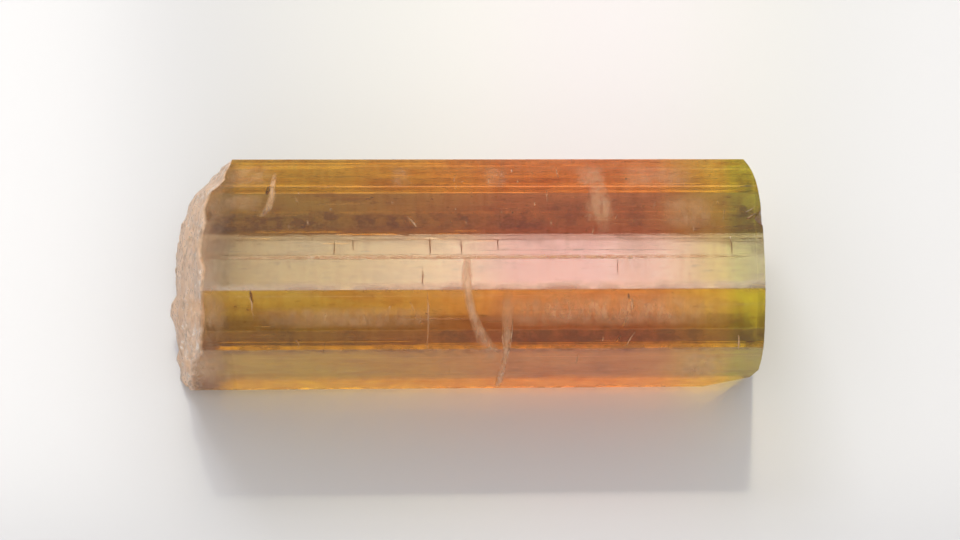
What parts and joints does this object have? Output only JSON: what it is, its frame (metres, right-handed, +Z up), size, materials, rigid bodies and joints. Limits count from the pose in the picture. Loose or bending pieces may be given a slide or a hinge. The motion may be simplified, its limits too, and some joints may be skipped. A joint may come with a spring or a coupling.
{
  "type": "tourmaline crystal",
  "caption": "Loose clear tourmaline crystal: a striated prism with a flat worn end and a broken end, lying on one prism face.",
  "frame": {"origin": "middle of the underside, on the surface that the crystal lies on", "axes": "+X along the growth axis, from the broken end towards the flat worn end; +Y away from the side that the picture shows; +Z up"},
  "size_m": [0.025, 0.0102, 0.0088],
  "materials": {
    "clear_tourmaline": "vitreous, transparent, zoned olive to peach to green along its length, frosted on the broken end"
  },
  "bodies": {
    "root": {"tourmaline_crystal": "clear_tourmaline"}
  },
  "joints": []
}
